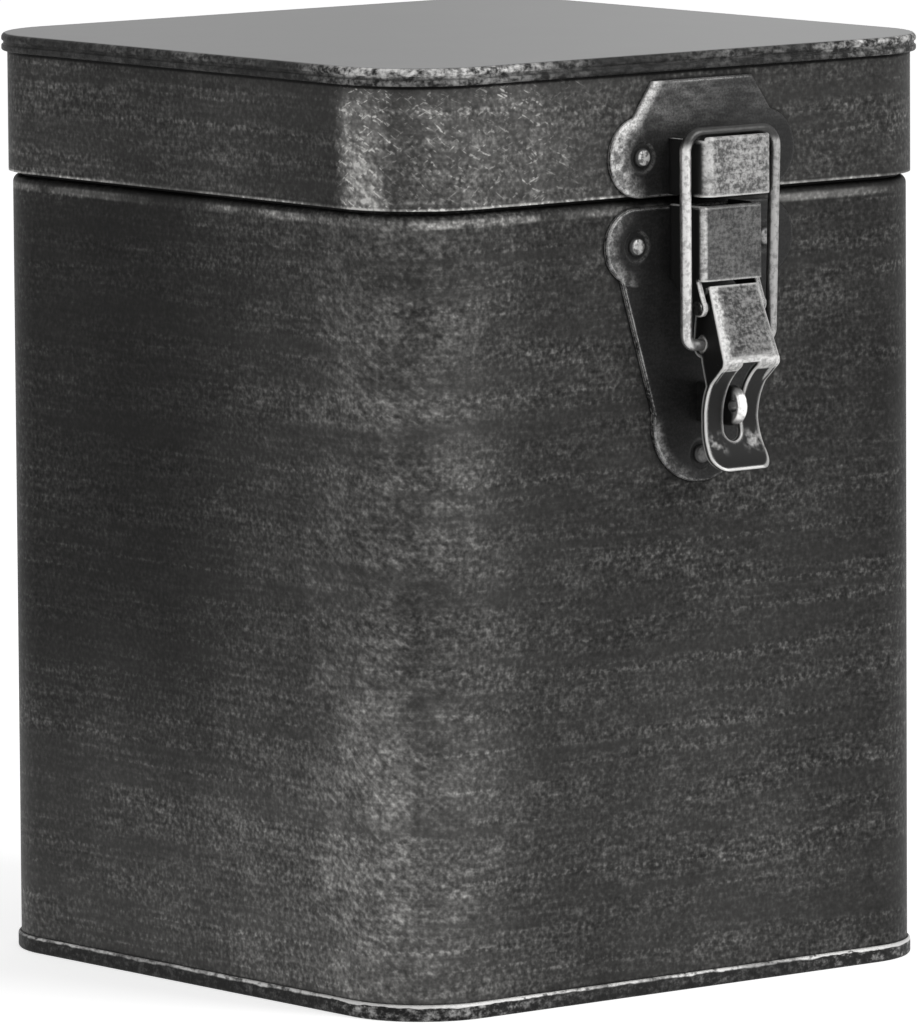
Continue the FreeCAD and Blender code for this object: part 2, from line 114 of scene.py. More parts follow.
class Ridge(NamedTuple):
    """Ridge of a rolled seam between two heights, rubbed silver through broken grain."""

    low: float
    high: float
    soft: float
    amount: float
    broken: float


class Ear(NamedTuple):
    """Round ear or tail of a latch plate, placed across the latch and from the lid's edge."""

    across: float
    height: float
    radius: float
    rub_width: float
    rub_top: float
    amount: float


PLATE_EARS = [
    Ear(-19.6 * MM, 9.5 * MM, 10.0 * MM, rub_width=7.5 * MM, rub_top=10.0 * MM, amount=0.95),
    Ear(-20.6 * MM, -12.4 * MM, 9.4 * MM, rub_width=4.5 * MM, rub_top=9.0 * MM, amount=0.4),
    Ear(0.0, -56.5 * MM, 15.4 * MM, rub_width=4.0 * MM, rub_top=2.0 * MM, amount=0.38),
]
# Dishes round the visible rivets of the plates: across the latch, height from the lid's edge
PLATE_DISHES = [(-19.6 * MM, 9.5 * MM), (-20.6 * MM, -12.4 * MM), (0.0, -65.1 * MM)]


def place_camera():
    """Camera where the photograph was taken from."""
    azimuth = math.radians(CAMERA_AZIMUTH)
    elevation = math.radians(CAMERA_ELEVATION)
    back = Vector((math.sin(azimuth) * math.cos(elevation),
                   -math.cos(azimuth) * math.cos(elevation),
                   math.sin(elevation)))
    right = Vector((0, 0, 1)).cross(back).normalized()
    up = back.cross(right)
    turn = Matrix.Rotation(math.radians(CAMERA_ROLL), 3, back)
    axes = Matrix((turn @ right, turn @ up, back)).transposed()
    lens = bpy.data.cameras.new("photo_camera")
    lens.sensor_width = SENSOR
    lens.lens = FOCAL_PIXELS * SENSOR / IMAGE_HEIGHT
    lens.shift_x = -AIM_RIGHT_PIXELS / IMAGE_HEIGHT
    lens.shift_y = -AIM_UP_PIXELS / IMAGE_HEIGHT
    lens.clip_end = VIEW_END
    camera = bpy.data.objects.new("photo_camera", lens)
    stand = Matrix.Translation(CAMERA_AIM + back * CAMERA_DISTANCE)
    camera.matrix_world = stand @ axes.to_4x4()
    bpy.context.scene.collection.objects.link(camera)
    bpy.context.scene.camera = camera


def feed(tree, node, inputs):
    """Sets a node's inputs to values, or links them to sockets."""
    for key, value in inputs.items():
        if isinstance(value, bpy.types.NodeSocket):
            tree.links.new(value, node.inputs[key])
        else:
            node.inputs[key].default_value = value


def new_node(tree, kind, inputs=None, **settings):
    """Node with its settings made and its inputs fed."""
    made = tree.nodes.new(kind)
    for name, value in settings.items():
        setattr(made, name, value)
    feed(tree, made, inputs or {})
    return made


def calc(tree, operation, *values, clamp=False):
    """Result of one arithmetic step."""
    step = new_node(tree, "ShaderNodeMath", dict(enumerate(values)),
                    operation=operation, use_clamp=clamp)
    return step.outputs[0]


def product(tree, first, *others):
    """Values multiplied together."""
    for value in others:
        first = calc(tree, "MULTIPLY", first, value)
    return first


def plus(tree, base, value, share):
    """Base with a share of a value added to it."""
    return calc(tree, "MULTIPLY_ADD", value, share, base)


def blend(tree, first, first_share, second, second_share):
    """Two values added by their shares."""
    return plus(tree, product(tree, second, second_share), first, first_share)


def vector_calc(tree, operation, *values):
    """Result of one step on places or directions: a vector, or a number that measures them."""
    step = new_node(tree, "ShaderNodeVectorMath", dict(enumerate(values)), operation=operation)
    return step.outputs["Value" if operation in ("LENGTH", "DOT_PRODUCT") else "Vector"]


def stretched(tree, place, scale):
    """Place stretched or squeezed along its three axes."""
    return vector_calc(tree, "MULTIPLY", place, scale)


def apart(tree, place):
    """Three parts of a place or direction."""
    return new_node(tree, "ShaderNodeSeparateXYZ", {0: place}).outputs


def ramp(tree, value, low, high, out_low=0.0, out_high=1.0):
    """Value brought smoothly from one range to another."""
    ends = {"Value": value, "From Min": low, "From Max": high, "To Min": out_low, "To Max": out_high}
    step = new_node(tree, "ShaderNodeMapRange", ends, interpolation_type="SMOOTHSTEP")
    return step.outputs["Result"]


def noise(tree, place, scale, detail=3.0, roughness=0.55):
    """Cloudy value from 0 to 1 with features of about one over scale."""
    step = new_node(tree, "ShaderNodeTexNoise", {"Vector": place, "Scale": scale,
                                                 "Detail": detail, "Roughness": roughness})
    return step.outputs["Fac"]


def streaks(tree, place, scale, detail=2.0, roughness=0.55):
    """Cloudy value with its own feature size along each axis."""
    return noise(tree, stretched(tree, place, scale), 1.0, detail, roughness)


def mix_colour(tree, share, first, second):
    """Colour between two, by a mask."""
    step = new_node(tree, "ShaderNodeMix", {0: share, 6: first, 7: second}, data_type="RGBA")
    return step.outputs[2]


def grey(value):
    """Nearly neutral colour of one value."""
    return (value * 1.01, value, value * 0.985, 1)


def use_group(tree, group, inputs):
    """Outputs of one use of a shader group with its own values."""
    return new_node(tree, "ShaderNodeGroup", inputs, node_tree=group).outputs


def new_group(name, inputs, outputs, directions=()):
    """Empty shader group: a vector input called Place, float inputs and outputs, vector outputs."""
    group = bpy.data.node_groups.new(name, "ShaderNodeTree")
    sockets = group.interface
    sockets.new_socket("Place", in_out="INPUT", socket_type="NodeSocketVector")
    for label, value in inputs.items():
        socket = sockets.new_socket(label, in_out="INPUT", socket_type="NodeSocketFloat")
        socket.default_value = value
    for label in outputs:
        sockets.new_socket(label, in_out="OUTPUT", socket_type="NodeSocketFloat")
    for label in directions:
        sockets.new_socket(label, in_out="OUTPUT", socket_type="NodeSocketVector")
    source = group.nodes.new("NodeGroupInput")
    target = group.nodes.new("NodeGroupOutput")
    return group, source.outputs, target.inputs


def slanting_strokes(tree, place, along, across, slope):
    """Short strokes round the box that fall to the right, or rise where the slope is negative."""
    parts = apart(tree, place)
    round_way = calc(tree, "SUBTRACT", parts["X"], parts["Y"])
    bend = plus(tree, parts["Z"], noise(tree, place, 30.0, 2.0), 12 * MM)
    fall = plus(tree, bend, round_way, slope)
    stroke = new_node(tree, "ShaderNodeCombineXYZ", {0: product(tree, round_way, along),
                                                     1: product(tree, fall, across)})
    return noise(tree, stroke.outputs[0], 1.0, 2.0, 0.6)


def make_rubbed_grain():
    """Rubbed black sheet: dark ground, level streaks of bright grain, dotted rows and scratches."""
    inputs = {"Tone": 0.03, "Spread": 4.0, "Rub and sheen": 0.0, "Fleck": 0.0}
    group, given, result = new_group("rubbed_grain", inputs, ("Tone", "Height"))
    place = given["Place"]
    rub_and_sheen = calc(group, "MINIMUM", given["Rub and sheen"], 1.0)
    # Fine grain, and the level streaks that it shows in
    grain = noise(group, place, 900.0, 1.0, 0.5)
    rows = streaks(group, place, (140, 45, 780))
    lines = streaks(group, place, (12, 7, 480), 3.0, 0.6)
    drift = streaks(group, place, (17, 11, 100), 3.0, 0.6)
    fine = blend(group, grain, 0.66, rows, 0.34)
    level = plus(group, blend(group, drift, 0.58, lines, 0.42), given["Rub and sheen"], 0.06)
    cover = ramp(group, level, 0.38, 0.64, 0.22, 1.0)
    # Bright grain over the ground, crossed by strokes where the sheet is rubbed and where it has painted
    # sheen
    ground = 0.74
    spread = product(group, given["Spread"], plus(group, 1.0, rub_and_sheen, -0.3))
    swing = calc(group, "EXPONENT", product(group, calc(group, "SUBTRACT", fine, 0.5), spread))
    strokes = slanting_strokes(group, place, 170.0, 480.0, 0.45)
    crossed = product(group, calc(group, "SUBTRACT", strokes, 0.42), rub_and_sheen)
    lift = product(group, swing, calc(group, "EXPONENT", product(group, crossed, 2.4)))
    grained = product(group, cover, plus(group, -ground, lift, 1.1))
    dotted = product(group, ramp(group, lines, 0.56, 0.68), ramp(group, grain, 0.5, 0.66))
    share = plus(group, calc(group, "ADD", grained, ground), dotted, 0.6)
    # Scratches that fall or rise to the right
    falling = ramp(group, slanting_strokes(group, place, 210.0, 950.0, 0.5), 0.56, 0.71)
    rising = ramp(group, slanting_strokes(group, place, 230.0, 900.0, -0.45), 0.58, 0.72)
    scratches = calc(group, "MAXIMUM", falling, rising)
    flecks = product(group, scratches, ramp(group, grain, 0.4, 0.6), rub_and_sheen)
    share = plus(group, share, flecks, given["Fleck"])
    # Cloudy changes of the whole tone
    cloud = noise(group, place, 24.0, 3.0, 0.6)
    tone = product(group, share, plus(group, 0.45, cloud, 1.1), given["Tone"])
    height = product(group, plus(group, 0.2, cover, 0.8), fine)
    group.links.new(calc(group, "MINIMUM", tone, LIGHTEST_RUB), result["Tone"])
    group.links.new(height, result["Height"])
    return group


def make_edge_wear_and_highlight():
    """Rounded edges: a mask of their rub and painted highlight, broken by grain and most to the left,
    and the normal.
    """
    inputs = {"Radius": 0.6 * MM, "Wear and shine": 1.0, "Break": 0.5}
    group, given, result = new_group("edge_wear_and_highlight", inputs, ("Edge",), ("Normal",))
    rounded = new_node(group, "ShaderNodeBevel", {"Radius": given["Radius"]}, samples=8).outputs[0]
    facing = new_node(group, "ShaderNodeNewGeometry").outputs["Normal"]
    edge = ramp(group, vector_calc(group, "DOT_PRODUCT", rounded, facing), 0.998, 0.88)
    grain = noise(group, given["Place"], 1300.0, 2.0)
    patches = noise(group, given["Place"], 110.0, 3.0)
    rough = blend(group, grain, 0.6, patches, 0.7)
    broken = ramp(group, rough, given["Break"], calc(group, "ADD", given["Break"], 0.3))
    local = new_node(group, "ShaderNodeVectorTransform", {0: rounded}, vector_type="NORMAL",
                     convert_from="WORLD", convert_to="OBJECT").outputs[0]
    # Painted highlight: edges that face left are brighter
    leftward = ramp(group, apart(group, local)["X"], 0.3, -0.5, 0.35, 1.0)
    brightened = product(group, edge, broken, leftward)
    group.links.new(calc(group, "MULTIPLY", brightened, given["Wear and shine"], clamp=True), result["Edge"])
    group.links.new(rounded, result["Normal"])
    return group


def make_contact_shade():
    """Painted shade: dark where one piece stands on another."""
    group, given, result = new_group("contact_shade", {"Reach": CONTACT_SHADE_REACH}, ("Unshaded",))
    closed = new_node(group, "ShaderNodeAmbientOcclusion", {"Distance": given["Reach"]}, samples=6)
    speck = noise(group, given["Place"], 700.0, 2.0)
    uneven = plus(group, calc(group, "SUBTRACT", closed.outputs["AO"], 0.1), speck, 0.2)
    group.links.new(ramp(group, uneven, 0.45, 0.95, 0.2, 1.0), result["Unshaded"])
    return group


rubbed_grain = make_rubbed_grain()
contact_shade = make_contact_shade()
edge_wear_and_highlight = make_edge_wear_and_highlight()


def near_corner(tree, spot, lean, start, full):
    """Mask that rises toward the corner left of the latch, further along the front for a low lean."""
    parts = apart(tree, spot)
    return ramp(tree, blend(tree, parts["X"], -lean, parts["Y"], -1.0), start, full)


def height_band(tree, spot, low, high, soft):
    """Mask of the part between two heights."""
    up = apart(tree, spot)["Z"]
    above = ramp(tree, up, low - soft, low + soft)
    below = ramp(tree, up, high + soft, high - soft)
    return product(tree, above, below)


def start_material(name):
    """Material with its shader and its places and directions."""
    material = bpy.data.materials.new(name)
    material.use_nodes = True
    tree = material.node_tree
    shader = tree.nodes["Principled BSDF"]
    coordinates = new_node(tree, "ShaderNodeTexCoord").outputs
    return material, tree, shader, coordinates


def add_relief(tree, shader, height, depth, normal=None):
    """Fine relief from a height value, over a rounded normal where there is one."""
    inputs = {"Height": height, "Distance": depth, "Strength": 1.0}
    if normal is not None:
        inputs["Normal"] = normal
    relief = new_node(tree, "ShaderNodeBump", inputs)
    tree.links.new(relief.outputs[0], shader.inputs["Normal"])


def side_shade(tree, spot):
    """Painted shade and tone of the body's sides: the left one shaded darker toward the back, lighter at
    its far corner and low down, the right end shaded darker, all lighter toward the bottom.
    """
    parts = apart(tree, spot)
    left_side = ramp(tree, parts["X"], -62 * MM, -85 * MM)
    # Painted shade: the left side darker toward the back
    backward = ramp(tree, parts["Y"], -50 * MM, 20 * MM, 0.86, 0.58)
    far_corner = ramp(tree, parts["Y"], 64 * MM, 82 * MM, 1.0, 1.4)
    low_lighter = product(tree, ramp(tree, parts["Z"], 105 * MM, 15 * MM),
                       ramp(tree, parts["Y"], -50 * MM, 20 * MM, 0.4, 1.9))
    left = product(tree, backward, far_corner, calc(tree, "ADD", low_lighter, 1.0))
    left = plus(tree, 1.0, left_side, calc(tree, "SUBTRACT", left, 1.0))
    # Painted shade: the right end darker
    right = ramp(tree, parts["X"], 20 * MM, 70 * MM, 1.0, 0.7)
    low = ramp(tree, parts["Z"], 0.0, 140 * MM, 1.4, 1.0)
    return product(tree, left, right, low)


def lid_shade(tree, spot):
    """Painted shade on the lid's sides: the right end darker."""
    return ramp(tree, apart(tree, spot)["X"], 20 * MM, 60 * MM, 1.08, 0.86)


def rubbed_sheet_with_painted_light(name, tone, rubs_and_sheen, bands, fleck, painted_shade):
    """Black-finished sheet rubbed lighter along its grain, with rubs and painted sheen at its near
    corner, level bands and painted shade.
    """
    material, tree, shader, coordinates = start_material(name)
    spot = coordinates["Object"]
    patches = noise(tree, spot, 30.0, 3.0, 0.6)
    blots = noise(tree, spot, 75.0, 2.0, 0.6)
    lift = 0.0
    # Rubs and painted sheen that grow toward the near corner
    for rub_and_sheen in rubs_and_sheen:
        reach = near_corner(tree, spot, rub_and_sheen.lean, rub_and_sheen.start, rub_and_sheen.full)
        blotted = product(tree, reach, ramp(tree, blots, 0.42, 0.6, 1 - rub_and_sheen.patchy, 1.0))
        lift = plus(tree, lift, blotted, rub_and_sheen.amount)
    # Painted shade where pieces stand close to each other
    contact_shading = use_group(tree, contact_shade, {"Place": spot, "Reach": CONTACT_SHADE_REACH})
    ground = product(tree, plus(tree, tone, lift, tone), contact_shading["Unshaded"], painted_shade(tree, spot))
    for band in bands:
        broken = ramp(tree, patches, 0.4, 0.6, band.unbroken, 1.0)
        mask = product(tree, height_band(tree, spot, band.low, band.high, band.soft), broken)
        ground = product(tree, ground, plus(tree, 1.0, mask, band.amount))
    rubbed = use_group(tree, rubbed_grain, {"Place": spot, "Tone": ground, "Spread": SHEET_SPREAD,
                                            "Rub and sheen": lift, "Fleck": fleck})
    feed(tree, shader, {
        "Base Color": stretched(tree, rubbed["Tone"], WARM),
        "Roughness": 0.5,
        "Specular IOR Level": 0.05,
    })
    add_relief(tree, shader, rubbed["Height"], SHEET_RELIEF)
    return material


def seam_sheet(name, ridges, least, top_shine):
    """Black sheet with a rolled seam: ridges rubbed silver, most at the near corner, flat smooth with
    painted sheen.
    """
    material, tree, shader, coordinates = start_material(name)
    spot = coordinates["Object"]
    parts = apart(tree, spot)
    patches = noise(tree, spot, 45.0, 3.0, 0.6)
    grain = noise(tree, spot, 900.0, 3.0, 0.6)
    lumps = streaks(tree, spot, (330, 330, 640))
    rough = blend(tree, lumps, 0.6, grain, 0.5)
    # How far the rub reaches round the box
    corner = near_corner(tree, spot, 0.8, 118 * MM, 138 * MM)
    near_half = near_corner(tree, spot, 1.0, -30 * MM, 50 * MM)
    right_end = product(tree, ramp(tree, parts["X"], 35 * MM, 55 * MM),
                        ramp(tree, parts["Y"], -60 * MM, -80 * MM))
    patchy = product(tree, near_half, ramp(tree, patches, 0.35, 0.65, least, least + 0.28))
    reach = plus(tree, calc(tree, "ADD", patchy, corner), right_end, 0.8)
    # Ridges, with their heights made uneven
    wave = plus(tree, -0.8 * MM, noise(tree, spot, 150.0, 2.0), 1.6 * MM)
    lifted = new_node(tree, "ShaderNodeCombineXYZ", {2: wave}).outputs[0]
    uneven = vector_calc(tree, "ADD", spot, lifted)
    brightened = 0.0
    for ridge in ridges:
        band = product(tree, height_band(tree, uneven, ridge.low, ridge.high, ridge.soft), reach)
        speck = ramp(tree, plus(tree, rough, corner, 0.05), ridge.broken - 0.05, ridge.broken + 0.3)
        rubbed = product(tree, calc(tree, "MINIMUM", band, 1.0), speck)
        brightened = plus(tree, brightened, rubbed, ridge.amount)
    upward = calc(tree, "ABSOLUTE", apart(tree, coordinates["Normal"])["Z"])
    side = ramp(tree, upward, 0.995, 0.9)
    brightened = calc(tree, "MULTIPLY", brightened, side, clamp=True)
    # Mottled sides, and painted sheen on the flat that grows to the right as seen from the camera
    mottled = mix_colour(tree, ramp(tree, rough, 0.42, 0.72), grey(0.012), grey(0.04))
    rightward = blend(tree, parts["Y"], VIEW_RIGHT[1], parts["X"], VIEW_RIGHT[0])
    painted_sheen = plus(tree, ramp(tree, rightward, -40 * MM, 100 * MM, 0.0, 0.085), patches, 0.02)
    black = mix_colour(tree, side, painted_sheen, mottled)
    flat = calc(tree, "SUBTRACT", 1.0, side)
    feed(tree, shader, {
        "Base Color": mix_colour(tree, brightened, black, grey(SEAM_SILVER)),
        "Metallic": plus(tree, flat, brightened, 0.6),
        "Roughness": plus(tree, top_shine, side, 0.55 - top_shine),
        "Specular IOR Level": 0.12,
    })
    edges = use_group(tree, edge_wear_and_highlight, {"Place": spot, "Radius": SEAM_ROUNDING})
    add_relief(tree, shader, product(tree, rough, side), SEAM_RELIEF, edges["Normal"])
    return material


def latch_place(tree, spot, across, height):
    """Place measured from a point across the latch and from the lid's edge."""
    return vector_calc(tree, "SUBTRACT", spot, (LATCH_MIDDLE + across, 0, LID_EDGE + height))


def face_distance(tree, place):
    """Distance in the plane of the latch's face."""
    return vector_calc(tree, "LENGTH", stretched(tree, place, (1, 0, 1)))


def round_margin(tree, spot, ear):
    """Mask of the left margin of a round ear up to the rub's upper end, strongest at its edge."""
    place = latch_place(tree, spot, ear.across, ear.height)
    parts = apart(tree, place)
    distance = face_distance(tree, place)
    outer = ramp(tree, distance, ear.radius - ear.rub_width, ear.radius)
    inside = ramp(tree, distance, ear.radius + 0.8 * MM, ear.radius + 0.3 * MM)
    leftward = ramp(tree, parts["X"], 0.2 * ear.radius, -0.7 * ear.radius)
    below = ramp(tree, parts["Z"], ear.rub_top, ear.rub_top - 3 * MM)
    return product(tree, outer, leftward, inside, below)


def plate_marks(tree, spot):
    """Rubbed places of the latch plates: left ears, tail, and the slanted edge and top of the keeper."""
    parts = apart(tree, spot)
    blots = ramp(tree, noise(tree, spot, 420.0, 2.0), 0.38, 0.62, 0.35, 1.3)
    rubbed = 0.0
    for ear in PLATE_EARS:
        margin = product(tree, round_margin(tree, spot, ear), blots)
        rubbed = plus(tree, rubbed, margin, ear.amount)
    inward = (0.822, 0, -0.569)
    from_foot = latch_place(tree, spot, -23 * MM, 17.6 * MM)
    from_edge = vector_calc(tree, "DOT_PRODUCT", from_foot, inward)
    slant = product(tree, ramp(tree, from_edge, 3.4 * MM, 0.8 * MM),
                    height_band(tree, spot, LID_EDGE + 17 * MM, LID_EDGE + 30 * MM, 1.5 * MM))
    rows = ramp(tree, streaks(tree, spot, (220, 220, 520)), 0.36, 0.7, 0.3, 1.0)
    fading = ramp(tree, parts["X"], LATCH_MIDDLE - 8 * MM, LATCH_MIDDLE + 8 * MM, 0.2, 0.08)
    upper = ramp(tree, parts["Z"], LID_EDGE + 14 * MM, LID_EDGE + 22 * MM)
    return calc(tree, "ADD", plus(tree, rubbed, slant, 0.8), product(tree, upper, rows, fading))


def plate_edges(tree, spot):
    """Mask of the plates' rubbed and highlighted edges: not those of the dishes, and little those to the
    right.
    """
    clear = ramp(tree, apart(tree, spot)["X"], LATCH_MIDDLE + 11 * MM, LATCH_MIDDLE + 16 * MM, 1.0, 0.2)
    for across, height in PLATE_DISHES:
        distance = face_distance(tree, latch_place(tree, spot, across, height))
        clear = product(tree, clear, ramp(tree, distance, 4.8 * MM, 5.6 * MM, 0.15, 1.0))
    return clear


def boss_painted_highlight(tree, spot):
    """Painted highlight on the left rounding of the hook and of the housing."""
    parts = apart(tree, spot)
    rounding = ramp(tree, parts["X"], LATCH_MIDDLE - 8.0 * MM, LATCH_MIDDLE - 8.8 * MM)
    return product(tree, rounding, ramp(tree, parts["Z"], LID_EDGE, LID_EDGE + 1 * MM, 0.8, 0.6))


def front_edges(tree, spot, front):
    """Mask of the edges near a front."""
    return ramp(tree, apart(tree, spot)["Y"], front + 5 * MM, front + 3 * MM)


def hook_edges(tree, spot):
    """Mask of the rubbed and highlighted edges of the hook."""
    return front_edges(tree, spot, hook_low.y)


def housing_edges(tree, spot):
    """Mask of the rubbed and highlighted edges of the housing."""
    return front_edges(tree, spot, housing_low.y)


def lever_marks_and_highlight(tree, spot):
    """Rubbed left side, crest and lip of the lever, with a painted highlight on them."""
    parts = apart(tree, spot)
    ragged = plus(tree, -2.5 * MM, noise(tree, spot, 420.0, 3.0), 5 * MM)
    # Left side, which leans outward toward the crest
    lean = 0.071
    half_width = 7.6 * MM
    slope = plus(tree, lean * lever_high.z + half_width - LATCH_MIDDLE, parts["Z"], -lean)
    from_left = calc(tree, "ADD", calc(tree, "ADD", parts["X"], slope), ragged)
    left = product(tree, ramp(tree, from_left, 3.4 * MM, 1.6 * MM),
                   ramp(tree, parts["Z"], LEVER_CREST, LEVER_CREST + 1 * MM))
    up = plus(tree, parts["Z"], ragged, 0.5)
    crest = product(tree, ramp(tree, up, LEVER_CREST + 1.9 * MM, LEVER_CREST + 1.0 * MM),
                    ramp(tree, parts["Z"], LEVER_CREST - 1.9 * MM, LEVER_CREST - 1.4 * MM))
    # Lip on either side of the slot
    from_middle = calc(tree, "ABSOLUTE", calc(tree, "SUBTRACT", parts["X"], LATCH_MIDDLE))
    lip_low = lever_low.z + 4.5 * MM
    lip_high = lever_low.z + 8.5 * MM
    lip = product(tree, height_band(tree, spot, lip_low, lip_high, 1.5 * MM),
                  ramp(tree, from_middle, 2 * MM, 5 * MM),
                  ramp(tree, noise(tree, spot, 330.0, 2.0), 0.42, 0.62, 0.0, 0.6))
    return calc(tree, "ADD", calc(tree, "MAXIMUM", left, crest), lip)


def worn_steel_with_painted_light(name, dark, light, grain_size, wear_and_shine, radius, edge_break, marks_and_highlights=None, painted_shade=None,
               edges_at=None, specular=0.3):
    """Grained dark steel whose edges and marked places are worn bright and given painted highlights,
    with painted shade on its sides and where a band says.
    """
    material, tree, shader, coordinates = start_material(name)
    spot = coordinates["Object"]
    grain = noise(tree, spot, grain_size, 2.0, 0.65)
    rows = streaks(tree, spot, (250, 250, 1100))
    patches = noise(tree, spot, 130.0, 2.0)
    fine = blend(tree, rows, 0.3, grain, 0.6)
    speck = ramp(tree, plus(tree, fine, patches, 0.3), 0.46, 0.78)
    face = mix_colour(tree, speck, grey(dark), grey(light))
    # Painted shade in the lever's scoop below its crest
    if painted_shade:
        face = mix_colour(tree, height_band(tree, spot, *painted_shade), face, grey(LEVER_SHADE))
    # Rubbed marks and painted highlights in silver
    if marks_and_highlights:
        mottle = ramp(tree, fine, 0.3, 0.6, 0.35, 1.1)
        mottled = calc(tree, "MULTIPLY", marks_and_highlights(tree, spot), mottle, clamp=True)
        face = mix_colour(tree, mottled, face, grey(MARK_AND_HIGHLIGHT_SILVER))
    # Painted shade: faces that look left or right are near black
    sideways = calc(tree, "ABSOLUTE", apart(tree, coordinates["Normal"])["X"])
    face = mix_colour(tree, ramp(tree, sideways, 0.8, 0.97), face, grey(DEEP_SHADE))
    if edges_at:
        wear_and_shine = product(tree, edges_at(tree, spot), wear_and_shine)
    edges = use_group(tree, edge_wear_and_highlight, {"Place": spot, "Radius": radius, "Wear and shine": wear_and_shine,
                                        "Break": edge_break})
    feed(tree, shader, {
        "Base Color": mix_colour(tree, edges["Edge"], face, grey(EDGE_SILVER)),
        "Metallic": product(tree, edges["Edge"], 0.5),
        "Roughness": 0.5,
        "Specular IOR Level": specular,
    })
    add_relief(tree, shader, fine, STEEL_RELIEF, edges["Normal"])
    return material


def bright_steel(name, low, high, shade_mask=None):
    """Worn bright steel with a little tarnish, and painted shade where a mask says."""
    material, tree, shader, coordinates = start_material(name)
    spot = coordinates["Object"]
    tarnish = noise(tree, spot, 700.0, 3.0, 0.6)
    colour = mix_colour(tree, ramp(tree, tarnish, 0.36, 0.56), grey(low), grey(high))
    # Painted shade where the mask says
    if shade_mask:
        colour = mix_colour(tree, shade_mask(tree, spot), colour, grey(SHADE_ON_STEEL))
    feed(tree, shader, {"Base Color": colour, "Metallic": 0.9, "Roughness": 0.36})
    add_relief(tree, shader, tarnish, SHEET_RELIEF)
    return material


def wire_painted_shade(tree, spot):
    """Painted shade on the wire: dark over the hook, duller on the right leg."""
    parts = apart(tree, spot)
    # Painted shade over the hook and on the right leg
    top = ramp(tree, parts["Z"], bail_high.z - 6.5 * MM, bail_high.z - 2.8 * MM, 0.0, 0.97)
    right = ramp(tree, parts["X"], LATCH_MIDDLE - 6 * MM, LATCH_MIDDLE + 10 * MM, 0.15, 0.55)
    return calc(tree, "MAXIMUM", top, right)


def staple_painted_shade(tree, spot):
    """Painted shade on the staple behind its rubbed rim."""
    rim = staple_low.y
    return ramp(tree, apart(tree, spot)["Y"], rim + 2.2 * MM, rim + 3.4 * MM, 0.0, 0.95)


def rivet_steel(name):
    """Dark rivets with crowns worn bright and given a painted highlight, dimmed by painted shade to the
    right of the latch and behind the lever.
    """
    material, tree, shader, coordinates = start_material(name)
    spot = coordinates["Object"]
    parts = apart(tree, spot)
    outward = calc(tree, "ABSOLUTE", apart(tree, coordinates["Normal"])["Y"])
    grain = noise(tree, spot, 800.0, 2.0)
    # Painted shade on the rivet behind the lever and on those to the right
    clear_of_lever = ramp(tree, parts["Z"], 140 * MM, 160 * MM, 0.2, 1.0)
    right = product(tree, ramp(tree, parts["X"], 10 * MM, 20 * MM),
                    ramp(tree, parts["Y"], 0, -50 * MM))
    # Crown worn bright, with a painted highlight where it faces outward
    worn_lit_crown = product(tree, ramp(tree, outward, 0.72, 0.98), ramp(tree, grain, 0.36, 0.58, 0.15, 1.0),
                    clear_of_lever, plus(tree, 1.0, right, -0.6))
    feed(tree, shader, {
        "Base Color": mix_colour(tree, worn_lit_crown, grey(CROWN_BLACK), grey(CROWN_SILVER)),
        "Metallic": product(tree, worn_lit_crown, 0.5),
        "Roughness": 0.4,
    })
    return material


def dress(node_names, material):
    """Gives CAD nodes a finish."""
    for name in node_names:
        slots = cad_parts[name].data.materials
        slots.clear()
        slots.append(material)


def background_share(tree, lit, seen):
    """One value for the light that falls on the object, another for what is seen or mirrored."""
    rays = new_node(tree, "ShaderNodeLightPath").outputs
    mirrored = calc(tree, "MAXIMUM", rays["Is Glossy Ray"], rays["Is Transmission Ray"])
    watched = calc(tree, "MAXIMUM", rays["Is Camera Ray"], mirrored)
    return plus(tree, lit, watched, seen - lit)


def lay_stage():
    """Pale floor and soft studio surroundings."""
    bpy.ops.object.select_all(action="DESELECT")
    bpy.ops.mesh.primitive_plane_add(size=FLOOR_SIZE, location=(0, 0, 0))
    floor = bpy.context.object
    floor.name = "floor"
    material, tree, shader, _ = start_material("pale_floor")
    feed(tree, shader, {
        "Base Color": (FLOOR_GREY, FLOOR_GREY, FLOOR_GREY, 1),
        "Roughness": 0.9,
        "Specular IOR Level": 0.0,
        "Emission Strength": 1.0,
        "Emission Color": background_share(tree, 0.0, FLOOR_GLOW),
    })
    floor.data.materials.append(material)
    world = bpy.data.worlds.new("studio")
    world.use_nodes = True
    bpy.context.scene.world = world
    tree = world.node_tree
    tree.nodes.clear()
    strength = background_share(tree, SURROUND_LIT, SURROUND_SEEN)
    glow = new_node(tree, "ShaderNodeBackground", {"Color": (1, 1, 1, 1), "Strength": strength})
    new_node(tree, "ShaderNodeOutputWorld", {"Surface": glow.outputs[0]})


def soft_light(name, place, size, power):
    """Square soft box turned to the middle of the box."""
    lamp = bpy.data.lights.new(name, "AREA")
    lamp.energy = power
    lamp.size = size
    holder = bpy.data.objects.new(name, lamp)
    holder.location = place
    aim = Vector(LIGHT_AIM) - Vector(place)
    holder.rotation_euler = aim.to_track_quat("-Z", "Y").to_euler()
    bpy.context.scene.collection.objects.link(holder)


place_camera()
lay_stage()
for light_name, (light_place, light_size, light_power) in SOFT_BOXES.items():
    soft_light(light_name, light_place, light_size, light_power)
bpy.context.scene.view_settings.view_transform = "Standard"

# Sheet of the body and of the lid's band
# Rubs of the body, with painted sheen at its near corner
body_rubs_and_sheen = [
    CornerRubAndSheen(lean=2.4, start=190 * MM, full=272 * MM, amount=0.8, patchy=0.35),
    CornerRubAndSheen(lean=1.0, start=151 * MM, full=159.5 * MM, amount=0.15, patchy=0.7),
    CornerRubAndSheen(lean=5.0, start=476 * MM, full=494 * MM, amount=0.7, patchy=0.4),
]
